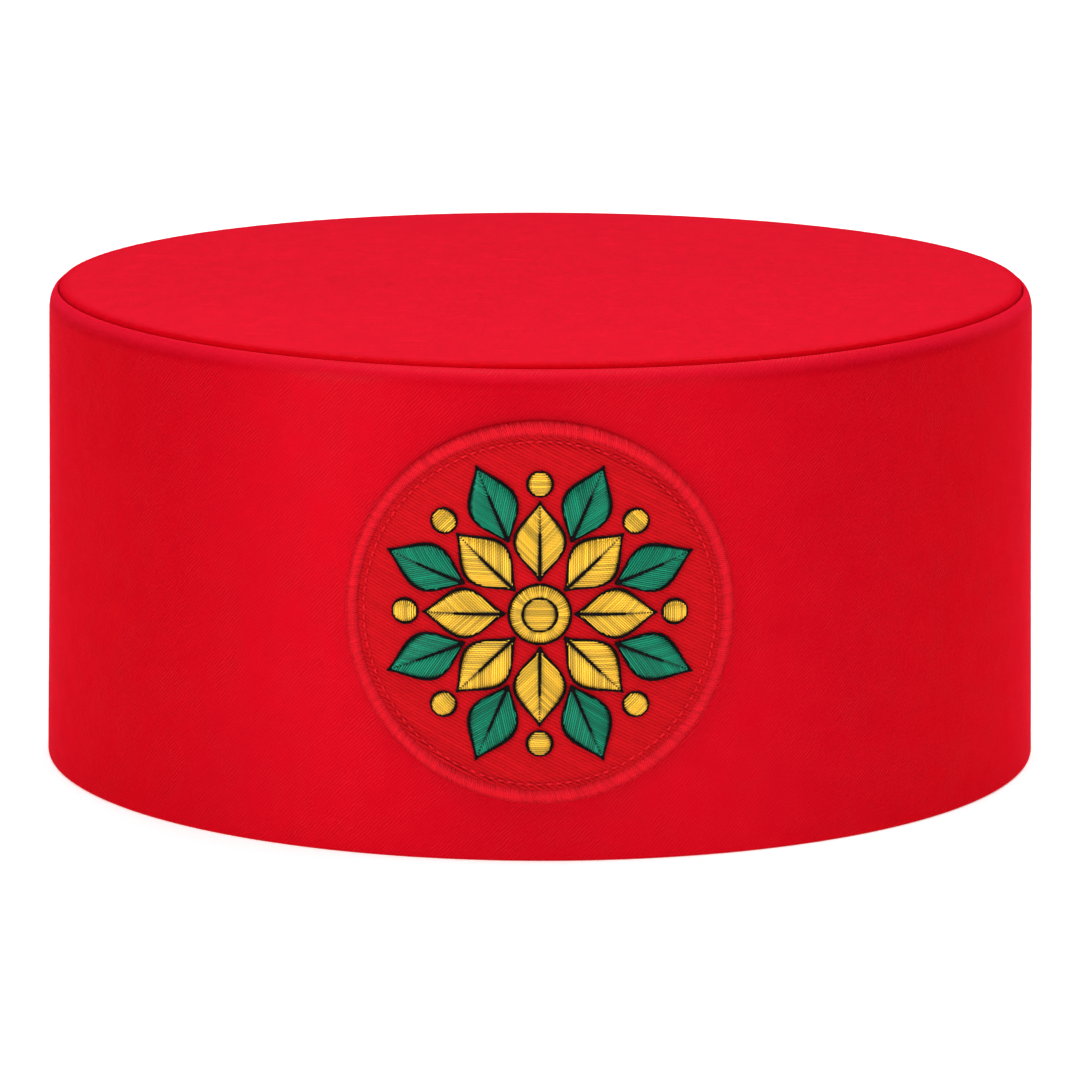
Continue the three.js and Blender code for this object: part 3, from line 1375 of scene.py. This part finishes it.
@dataclass
class Patch:
    """The round of twill, the stitches that hold it and its overlocked border."""

    place: PatchPlace
    seed: int = 31
    ground_edge: float = 0.0336
    backing_rings: int = 12
    backing_sides: int = 96
    # Painted shade on the backing where it shows between the ribs
    backing_shade: float = -1.0
    rib_pitch: float = 0.00062
    rib_fall: float = math.radians(-28.0)
    rib_height: float = 0.00012
    rib_overlap: float = 0.54
    rib_sides: int = 6
    rib_steps: int = 36
    core_share: float = 0.88
    core_drop: float = 0.00022
    core_steps: int = 14
    core_sides: int = 120
    # Painted shade on the core where it shows between the winding
    core_shade: float = -1.5
    border_pitch: float = 0.0004
    border_top: float = 0.0017
    border_curl: float = math.radians(38.0)
    border_lean: float = 0.0009
    border_leans: Range = (0.8, 1.2)
    border_widths: Range = (0.97, 1.03)
    border_heights: Range = (0.96, 1.0)
    border_steps: int = 13
    border_overlap: float = 0.6
    border_thickness: float = 0.00017
    border_end_size: float = 0.6
    # Painted shade along the border's inner and outer edges
    border_edge_shade: float = -4.5
    hold_radius: float = 0.0315
    hold_stitch: float = 0.0012
    hold_gap: float = 0.0005
    hold_groove: float = 0.0003
    hold_groove_width: float = 0.0006
    hold_sink: float = 0.6
    hold_arch: float = 0.0002
    hold_stray: Range = (-0.00005, 0.00005)
    hold_section: Section = (0.00022, 0.00016)
    hold_steps: int = 7

    def build(self, twill: Material, thread: Material) -> None:
        """Builds the twill, the border and the holding stitches.

        Args:
            twill: The finish of the ground.
            thread: The finish of the red threads.
        """
        self._ground(twill)
        self._border(thread)
        self._holding_stitches(thread)

    def _ground(self, twill: Material) -> None:
        """Builds the ground: a backing disc, with painted shade where it shows between the ribs, and a rib
        of twill for every pitch.

        Args:
            twill: The finish of the ground.
        """
        draw = np.random.default_rng(self.seed)
        ribs = StrandField(sides=self.rib_sides, ply_length=self.rib_pitch / 2.0)
        top = self.place.ground_top
        under = top - self.rib_height - self.hold_groove
        rings = np.linspace(0.0, self.ground_edge, self.backing_rings)
        backing = [(r, 0.0) for r in rings] + [(r, under) for r in rings[::-1]]
        ribs.add_shell(spun(backing, self.backing_sides, closed=False), self.backing_shade)
        along = np.array((math.cos(self.rib_fall), math.sin(self.rib_fall)))
        across = np.array((-along[1], along[0]))
        half_width = self.rib_pitch * self.rib_overlap
        count = int(self.ground_edge / self.rib_pitch)
        for offset in np.arange(-count, count + 1) * self.rib_pitch:
            half = math.sqrt(self.ground_edge**2 - offset**2)
            run = half * np.sin(np.linspace(-QUARTER, QUARTER, self.rib_steps))
            flat = offset * across + run[:, None] * along
            level = top - self.rib_height / 2.0 - self._groove(np.hypot(run, offset))
            path = np.hstack((flat, level[:, None]))
            ribs.add(path, half_width, self.rib_height, draw.uniform(*TINTS), end_size=1.0)
        mesh = ribs.to_mesh("twill_ground", self.place.lay)
        add_piece(mesh, (twill,), Slot.RED_TWILL, ("patch_ground",))

    def _groove(self, reach: Array) -> Array:
        """Returns how far the running stitch pulls the twill in at a distance from the patch's middle."""
        return self.hold_groove * np.exp(-(((reach - self.hold_radius) / self.hold_groove_width) ** 2))

    def _border(self, thread: Material) -> None:
        """Builds the border: a core ring wound over with leaning threads, with painted shade on the core and
        along the border's edges.

        Args:
            thread: The finish of the red threads.
        """
        draw = np.random.default_rng(self.seed + 1)
        place = self.place
        half = place.border_width / 2.0
        middle = place.radius - half
        tall = (self.border_top + place.gap) / (1.0 + math.sin(self.border_curl))
        level = self.border_top - tall
        span = (-self.border_curl, math.pi + self.border_curl)
        winding = StrandField()
        core_radii = (half * self.core_share, tall - self.core_drop)
        core = spun(arc((middle, level), core_radii, span, self.core_steps), self.core_sides, closed=True)
        winding.add_shell(core, self.core_shade)
        section = (self.border_pitch * self.border_overlap, self.border_thickness)
        count = round(TURN * middle / self.border_pitch)
        sweep = np.linspace(*span, self.border_steps)
        for i in range(count):
            lean = self.border_lean * draw.uniform(*self.border_leans)
            bearing = TURN * i / count + (sweep / math.pi - 0.5) * lean / middle
            r = middle + half * np.cos(sweep) * draw.uniform(*self.border_widths)
            z = level + tall * np.sin(sweep) * draw.uniform(*self.border_heights)
            side = np.stack((np.cos(bearing), -np.sin(bearing), np.zeros_like(bearing)), axis=1)
            # Each thread's own tint, with painted shade along the border's edges
            tint = draw.uniform(*TINTS) + self.border_edge_shade * np.cos(sweep) ** 2
            winding.add(around(r, bearing, z), *section, tint, side=side, end_size=self.border_end_size)
        mesh = winding.to_mesh("border_winding", place.lay)
        add_piece(mesh, (thread,), Slot.RED_THREAD, ("patch_border",))

    def _holding_stitches(self, thread: Material) -> None:
        """Builds the running stitch that holds the patch, just inside its border.

        Args:
            thread: The finish of the red threads.
        """
        draw = np.random.default_rng(self.seed + 2)
        stitches = StrandField()
        count = round(TURN * self.hold_radius / (self.hold_stitch + self.hold_gap))
        reach = self.hold_stitch / self.hold_radius / 2.0
        share = np.linspace(-1.0, 1.0, self.hold_steps)
        z = self.place.ground_top - self.hold_groove * self.hold_sink + self.hold_arch * (1.0 - share**2)
        for i in range(count):
            bearing = TURN * i / count + share * reach
            r = self.hold_radius + draw.uniform(*self.hold_stray)
            stitches.add(around(r, bearing, z), *self.hold_section, draw.uniform(*TINTS))
        mesh = stitches.to_mesh("holding_stitches", self.place.lay)
        add_piece(mesh, (thread,), Slot.RED_THREAD)


@dataclass(frozen=True)
class Leaf:
    """A padded leaf of the rosette: pointed at both ends, domed, with threads that slant off its midrib."""

    start: float
    end: float
    half_width: float
    fullest: float
    slant: float
    roundness: float = 1.4
    padding: float = 0.001
    pad_sides: int = 14
    pad_rows: int = 12
    pad_width: float = 0.96
    pad_height: float = 0.8
    groove_depth: float = 0.00025
    groove_width: float = 0.0004
    clip_samples: int = 900
    clip_least: int = 3

    def fullness(self, share: Array) -> Array:
        """Returns how full the leaf is, from 0 to 1, at a share of its length."""
        power = math.log(0.5) / math.log(self.fullest)
        return np.maximum(0.0, np.sin(math.pi * np.clip(share, 0.0, 1.0) ** power)) ** self.roundness

    def share_at(self, along: Array) -> Array:
        """Returns the share of the leaf's length at a distance from the rosette's middle."""
        return np.clip((along - self.start) / (self.end - self.start), 0.0, 1.0)

    def width_at(self, along: Array) -> Array:
        """Returns the leaf's half width at a distance from the rosette's middle."""
        return self.half_width * self.fullness(self.share_at(along))

    def height_at(self, along: Array, across: Array) -> Array:
        """Works out the padding's height above the ground, less the groove along the midrib.

        Args:
            along: Distances from the rosette's middle.
            across: Distances from the midrib.

        Returns:
            The height at each.
        """
        fullness = self.fullness(self.share_at(along))
        side = np.clip(np.abs(across) / np.maximum(self.half_width * fullness, MERGE_DISTANCE), 0.0, 1.0)
        dome = self.padding * np.sqrt(fullness) * np.sqrt(1.0 - side**2)
        return dome - self.groove_depth * np.exp(-((across / self.groove_width) ** 2)) * fullness

    def stitches(self, pitch: float) -> list[Array]:
        """Clips parallel slanted threads to the right half of the leaf.

        Args:
            pitch: The distance between threads.

        Returns:
            The two (along, across) ends of each thread, from the midrib out.
        """
        run = np.array((math.cos(self.slant), math.sin(self.slant)))
        step = np.array((-run[1], run[0]))
        first = -self.end * run[1]
        last = -self.start * run[1] + self.half_width * run[0]
        reach = np.linspace(-self.end, 2.0 * self.end, self.clip_samples)
        found = []
        for offset in np.arange(first, last, pitch):
            along, across = offset * step[:, None] + reach * run[:, None]
            on_leaf = (along > self.start) & (along < self.end)
            inside = np.flatnonzero(on_leaf & (across > 0.0) & (across < self.width_at(along)))
            if len(inside) > self.clip_least:
                found.append(np.stack((along, across), axis=1)[inside[[0, -1]]])
        return found

    def outline(self, steps: int) -> Array:
        """Draws the leaf's edge.

        Args:
            steps: How many points each side has.

        Returns:
            A closed loop of flat points, with the leaf's length along y.
        """
        share = (1.0 - np.cos(np.linspace(0.0, math.pi, steps))) / 2.0
        along = self.start + (self.end - self.start) * share
        width = self.half_width * self.fullness(share)
        right = np.stack((width, along), axis=1)
        left = np.stack((-width, along), axis=1)[::-1]
        return np.concatenate((right, left[1:]))

    def vein(self, part: float, steps: int) -> Array:
        """Draws the leaf's midrib.

        Args:
            part: The part of the leaf's length that it runs along.
            steps: How many points it has.

        Returns:
            A line of flat points, with the leaf's length along y.
        """
        along = np.linspace(self.start, self.start + (self.end - self.start) * part, steps)
        return np.stack((np.zeros_like(along), along), axis=1)

    def padding_shell(self) -> Shell:
        """Returns the padding under the threads, with its axis along +Y."""
        return domed(self.pad_sides, self.pad_rows, self._pad_point)

    def _pad_point(self, ball: Vector) -> tuple[float, float, float]:
        """Shapes one point of the padding.

        Args:
            ball: Where the point is on a sphere of radius 1.

        Returns:
            Where it is on the leaf.
        """
        share = (ball.z + 1.0) / 2.0
        level = math.hypot(ball.x, ball.y) or 1.0
        fullness = float(self.fullness(np.array(share)))
        high = max(0.0, -ball.y / level) * math.sqrt(fullness) * self.padding * self.pad_height
        along = self.start + (self.end - self.start) * share
        return self.pad_width * self.half_width * fullness * ball.x / level, along, high


@dataclass(frozen=True)
class Dot:
    """A padded round dot of the rosette, crossed by level threads."""

    radius: float
    reach: float
    padding: float = 0.001
    pad_sides: int = 20
    pad_rows: int = 10
    pad_width: float = 0.95
    pad_height: float = 0.8

    def height_at(self, from_middle: Array) -> Array:
        """Returns the padding's height at a distance from the dot's middle."""
        return self.padding * np.sqrt(np.clip(1.0 - (from_middle / self.radius) ** 2, 0.0, 1.0))

    def padding_shell(self) -> Shell:
        """Returns the padding under the threads."""
        return domed(self.pad_sides, self.pad_rows, self._pad_point)

    def _pad_point(self, ball: Vector) -> tuple[float, float, float]:
        """Shapes one point of the padding from where it is on a sphere of radius 1."""
        wide = self.radius * self.pad_width
        return wide * ball.x, self.reach + wide * ball.y, max(0.0, ball.z) * self.padding * self.pad_height


@dataclass(frozen=True)
class Stitched:
    """What a padded shape is called, how far round the rosette it lies, its finish and its CAD node."""

    name: str
    bearing: float
    material: Material
    slot: Slot
    node: str


@dataclass
class Rosette:
    """The embroidery: a boss, gold petals, green sepals and gold knots, all outlined in black."""

    place: PatchPlace
    folds: int = 8
    seed: int = 41
    pitch: float = 0.00037
    section: Section = (0.0002, 0.00017)
    thread_steps: int = 8
    level_steps: int = 9
    # Painted shade at the threads' ends
    end_shade: float = -1.6
    # Painted shade on the padding where it shows between the threads
    pad_shade: float = -3.0
    petal: Leaf = Leaf(0.006, 0.0206, 0.0045, 0.5, math.radians(44.0))
    sepal: Leaf = Leaf(0.0142, 0.0292, 0.0043, 0.48, math.radians(34.0))
    leaf_stray: Range = (-0.00006, 0.00012)
    leaf_steps: int = 40
    knot: Dot = Dot(0.0022, 0.0238)
    boss: Dot = Dot(0.0054, 0.0)
    boss_eye: float = 0.55
    boss_stray: Range = (-0.00006, 0.00006)
    boss_share: float = 0.8
    boss_arch: float = 0.00035
    level_stray: Range = (-0.00005, 0.00008)
    lift: Range = (0.0, 0.00004)
    circle_points: int = 49
    line_section: Section = (0.0003, 0.00017)
    line_stitch: float = 0.0013
    line_overlap: float = 0.2
    line_steps: int = 5
    line_level: float = 0.00034
    line_lift: Range = (0.0, 0.00005)
    line_end_dip: float = 0.00008
    vein_part: float = 0.62
    vein_steps: int = 16
    vein_level: float = 0.8
    lines: StrandField = field(default_factory=StrandField)

    def build(self, gold: Material, green: Material, black: Material) -> None:
        """Builds every shape of the rosette, then the black lines round them.

        Args:
            gold: The finish of the boss, petals and knots.
            green: The finish of the sepals.
            black: The finish of the outlines and veins.
        """
        self._boss(Stitched("boss_stitch", 0.0, gold, Slot.GOLD_THREAD, "boss"))
        for i in range(self.folds):
            number = i + 1
            on_axis = TURN * i / self.folds
            between = on_axis + math.pi / self.folds
            golden = (on_axis, gold, Slot.GOLD_THREAD)
            leafy = (between, green, Slot.GREEN_THREAD)
            self._leaf(self.petal, Stitched(f"petal_stitch_{number}", *golden, f"petal_{number}"))
            self._leaf(self.sepal, Stitched(f"sepal_stitch_{number}", *leafy, f"sepal_{number}"))
            self._knot(Stitched(f"knot_stitch_{number}", *golden, f"knot_{number}"))
        mesh = self.lines.to_mesh("outline_stitches", self.place.lay)
        add_piece(mesh, (black,), Slot.BLACK_THREAD)

    def _start(self, shape: Leaf | Dot, sewn: Stitched) -> tuple[StrandField, Draw]:
        """Starts a shape on its padding, which carries painted shade where it shows between the threads.

        Args:
            shape: The leaf or dot to stitch.
            sewn: What the shape is called.

        Returns:
            The field that takes its threads, and its random draws, which are the same in every run.
        """
        strands = StrandField()
        strands.add_shell(shape.padding_shell(), self.pad_shade)
        return strands, np.random.default_rng([self.seed, *sewn.name.encode()])

    def _thread(self, strands: StrandField, path: Array, draw: Draw) -> None:
        """Adds a satin stitch along a path, with a tint of its own and painted shade at its ends."""
        strands.add(path, *self.section, draw.uniform(*TINTS), end_shade=self.end_shade)

    def _raised(self, flat: Array, bearing: float) -> Array:
        """Returns flat points turned to a bearing and raised onto the twill."""
        return turned(flat, bearing) + np.array((0.0, 0.0, self.place.ground_top))

    def _finish(self, strands: StrandField, sewn: Stitched) -> None:
        """Turns a shape to its bearing, lays it on the patch and dresses it."""
        mesh = strands.to_mesh(sewn.name, lambda flat: self.place.lay(self._raised(flat, sewn.bearing)))
        add_piece(mesh, (sewn.material,), sewn.slot, (sewn.node,))

    def _leaf(self, leaf: Leaf, sewn: Stitched) -> None:
        """Builds a satin-stitched leaf with its outline and vein.

        Args:
            leaf: The leaf's shape.
            sewn: What it is called, and where and of what it is.
        """
        strands, draw = self._start(leaf, sewn)
        share = np.linspace(0.0, 1.0, self.thread_steps)[:, None]
        for side in Side:
            for first, last in leaf.stitches(self.pitch):
                stray = draw.uniform(*self.leaf_stray)
                outward = (last - first) / np.linalg.norm(last - first)
                line = first + (last + outward * stray - first) * share
                z = leaf.height_at(line[:, 0], line[:, 1]) + draw.uniform(*self.lift)
                path = np.stack((side.value * line[:, 1], line[:, 0], z), axis=1)
                self._thread(strands, path, draw)
        self._finish(strands, sewn)
        self._line(leaf.outline(self.leaf_steps), sewn.bearing, self.line_level, draw)
        vein = leaf.vein(self.vein_part, self.vein_steps)
        level = leaf.height_at(vein[:, 1], vein[:, 0]) + self.section[1] * self.vein_level
        self._line(vein, sewn.bearing, level, draw)

    def _knot(self, sewn: Stitched) -> None:
        """Builds a knot of threads that cross its axis, with its outline.

        Args:
            sewn: What the knot is called, and where and of what it is.
        """
        strands, draw = self._start(self.knot, sewn)
        self._level_threads(strands, self.knot, self.knot.radius, draw)
        self._finish(strands, sewn)
        self._line(self._circle(self.knot.radius, self.knot.reach), sewn.bearing, self.line_level, draw)

    def _boss(self, sewn: Stitched) -> None:
        """Builds the boss: a ring of radial threads round an eye of level ones.

        Args:
            sewn: What the boss is called, and where and of what it is.
        """
        boss = self.boss
        strands, draw = self._start(boss, sewn)
        eye = boss.radius * self.boss_eye
        self._level_threads(strands, boss, eye, draw)
        count = round(math.pi * (eye + boss.radius) / self.pitch)
        share = np.linspace(0.0, 1.0, self.thread_steps)
        arch = self.boss_arch * np.sin(math.pi * share)
        for i in range(count):
            r = eye + (boss.radius - eye) * share + draw.uniform(*self.boss_stray)
            z = boss.height_at(r) * self.boss_share + arch
            self._thread(strands, around(r, TURN * i / count, z), draw)
        self._finish(strands, sewn)
        self._line(self._circle(boss.radius, boss.reach), sewn.bearing, self.line_level, draw)
        self._line(self._circle(eye, boss.reach), sewn.bearing, boss.height_at(np.array(eye)), draw)

    def _level_threads(self, strands: StrandField, dot: Dot, radius: float, draw: Draw) -> None:
        """Crosses a round with parallel threads.

        Args:
            strands: The field that takes the threads.
            dot: The dot whose padding the threads lie on.
            radius: The round's radius.
            draw: The shape's random draws.
        """
        share = np.linspace(-1.0, 1.0, self.level_steps)
        count = int(radius / self.pitch)
        for y in np.arange(-count, count + 1) * self.pitch:
            half = math.sqrt(radius**2 - y**2) + draw.uniform(*self.level_stray)
            if half < self.pitch:
                continue
            x = share * half
            z = dot.height_at(np.hypot(x, y)) + draw.uniform(*self.lift)
            self._thread(strands, np.stack((x, np.full_like(x, dot.reach + y), z), axis=1), draw)

    def _circle(self, radius: float, reach: float) -> Array:
        """Returns a closed ring of flat points."""
        angle = np.linspace(0.0, TURN, self.circle_points)
        return np.stack((radius * np.sin(angle), reach + radius * np.cos(angle)), axis=1)

    def _line(self, flat: Array, bearing: float, level: Array | float, draw: Draw) -> None:
        """Adds a stem-stitched black line.

        Args:
            flat: The line's flat points.
            bearing: The bearing that the line is turned to.
            level: Its height above the twill, for all points or for each.
            draw: The shape's random draws.
        """
        heights = np.broadcast_to(np.asarray(level, dtype=float), (len(flat),))
        run = run_along(flat)
        count = max(2, round(run[-1] / self.line_stitch))
        length = run[-1] / count
        for i in range(count):
            ends = (i - self.line_overlap, i + 1.0 + self.line_overlap)
            at = np.clip(np.linspace(ends[0] * length, ends[1] * length, self.line_steps), 0.0, run[-1])
            x, y, z = (np.interp(at, run, values) for values in (flat[:, 0], flat[:, 1], heights))
            path = np.stack((x, y, z + draw.uniform(*self.line_lift)), axis=1)
            path[[0, -1], 2] -= self.line_end_dip
            self.lines.add(self._raised(path, bearing), *self.line_section, draw.uniform(*TINTS))


# The studio

@dataclass(frozen=True)
class SoftBox:
    """A soft rectangular light, at a bearing that is zero at the cap's front and grows to the right."""

    name: str
    bearing: float
    elevation: float
    distance: float
    size: tuple[float, float]
    watts: float

    def build(self, target: Vector) -> None:
        """Adds the light to the scene.

        Args:
            target: The point that it looks at.
        """
        data = bpy.data.lights.new(self.name, "AREA")
        data.shape = "RECTANGLE"
        data.size, data.size_y = self.size
        data.energy = self.watts
        light = bpy.data.objects.new(self.name, data)
        turn = math.radians(self.bearing)
        lift = math.radians(self.elevation)
        level = math.cos(lift)
        towards = Vector((level * math.sin(turn), -level * math.cos(turn), math.sin(lift)))
        light.location = target + towards * self.distance
        light.rotation_euler = towards.to_track_quat("Z", "Y").to_euler()
        bpy.context.scene.collection.objects.link(light)


SOFT_BOXES = (
    SoftBox("key_box", -46.0, 6.0, 1.5, (0.5, 0.3), 4.2),
    SoftBox("fill_box", 25.0, 8.0, 1.8, (1.2, 0.4), 5.4),
    SoftBox("overhead_box", -5.0, 65.0, 2.0, (1.8, 1.2), 17.5),
    SoftBox("left_overhead_box", -45.0, 60.0, 2.0, (1.2, 1.2), 7.3),
    SoftBox("left_side_box", -95.0, 62.0, 2.0, (1.2, 1.2), 3.6),
    SoftBox("right_side_box", 95.0, 62.0, 2.0, (1.2, 1.2), 12.6),
    SoftBox("right_rim_box", 125.0, 15.0, 1.4, (0.5, 0.9), 1.0),
    SoftBox("left_rim_box", -125.0, 15.0, 1.4, (0.5, 0.9), 0.4),
    SoftBox("back_box", 180.0, 50.0, 2.8, (2.4, 1.4), 45.0),
)


@dataclass
class Studio:
    """The pale floor, the soft lights and the camera at the photograph's angle."""

    cap_middle: tuple[float, float, float] = (0.0, 0.0, 0.045)
    camera_distance: float = 1.16156
    camera_elevation: float = math.radians(10.93)
    camera_aim: tuple[float, float, float] = (0.0, 0.0, 0.0446)
    camera_tilt: float = math.radians(-0.247)
    camera_roll: float = 0.002
    lens: float = 202.57
    sensor: float = 36.0
    floor_size: float = 8.0
    floor_cells: int = 8
    floor_colour: Colour = (0.92, 0.92, 0.92)
    floor_grain: Grain = Grain((3.0, 3.0, 3.0), 2.0, (0.99, 1.01))
    floor_roughness: float = 0.9
    floor_specular: float = 0.1
    floor_glow: float = 0.32
    sky: float = 0.1

    def build(self) -> None:
        """Sets the stage, the lights, the world and the camera."""
        self._floor()
        self._world()
        for box in SOFT_BOXES:
            box.build(Vector(self.cap_middle))
        self._camera()

    def _floor(self) -> None:
        """Lays the floor, with a faint grain so that it isn't one flat colour."""
        plane = bmesh.new()
        cells = self.floor_cells
        bmesh.ops.create_grid(plane, x_segments=cells, y_segments=cells, size=self.floor_size / 2.0)
        floor = bpy.data.objects.new("studio_floor", to_mesh("studio_floor", plane))
        material, shader, principled = new_material("pale_floor")
        grain = shader.noise(shader.place(), self.floor_grain)
        sockets = {
            "Base Color": shader.scale(self.floor_colour, grain),
            "Roughness": self.floor_roughness,
            "Specular IOR Level": self.floor_specular,
            "Emission Color": opaque(WHITE),
            "Emission Strength": self.floor_glow,
        }
        shader.fill(principled, sockets)
        floor.data.materials.append(material)
        bpy.context.scene.collection.objects.link(floor)

    def _world(self) -> None:
        """Sets an even white surround and plain display colours."""
        world = bpy.data.worlds.new("studio_world")
        world.use_nodes = True
        background = world.node_tree.nodes["Background"]
        Shader(world.node_tree).fill(background, {"Color": opaque(WHITE), "Strength": self.sky})
        bpy.context.scene.world = world
        bpy.context.scene.view_settings.view_transform = "Standard"

    def _camera(self) -> None:
        """Places the camera, tilted down a little so that the cap sits above the middle of the frame."""
        data = bpy.data.cameras.new("studio_camera")
        data.lens = self.lens
        data.sensor_width = self.sensor
        camera = bpy.data.objects.new("studio_camera", data)
        elevation = self.camera_elevation
        back = Vector((0.0, -math.cos(elevation), math.sin(elevation)))
        place = Matrix.Translation(Vector(self.camera_aim) + back * self.camera_distance)
        upright = Matrix.Rotation(QUARTER - elevation + self.camera_tilt, 4, "X")
        camera.matrix_world = place @ upright @ Matrix.Rotation(self.camera_roll, 4, "Z")
        bpy.context.scene.collection.objects.link(camera)
        bpy.context.scene.camera = camera


def main() -> None:
    """Builds the cap's pieces in order, then the studio."""
    logging.basicConfig(level=logging.INFO, format="%(message)s")
    effects = CommonEffects()
    shape = CapShape(rim_radius=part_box("side_band")[1].x)
    inside = SATIN_BACK.build(effects, shape.rim_radius)
    SideBand(shape).build(SATIN_WALL.build(effects, shape.rim_radius), inside)
    TopDisc(shape).build(SATIN_TOP_PAINTED_SHEEN.build(effects, shape.rim_radius), inside)
    place = PatchPlace(shape)
    Patch(place).build(TWILL.build(effects), RED_THREAD.build(effects))
    gold, green, black = (finish.build(effects) for finish in (GOLD_THREAD, GREEN_THREAD, BLACK_THREAD))
    Rosette(place).build(gold, green, black)
    Studio().build()


if __name__ == "__main__":
    main()
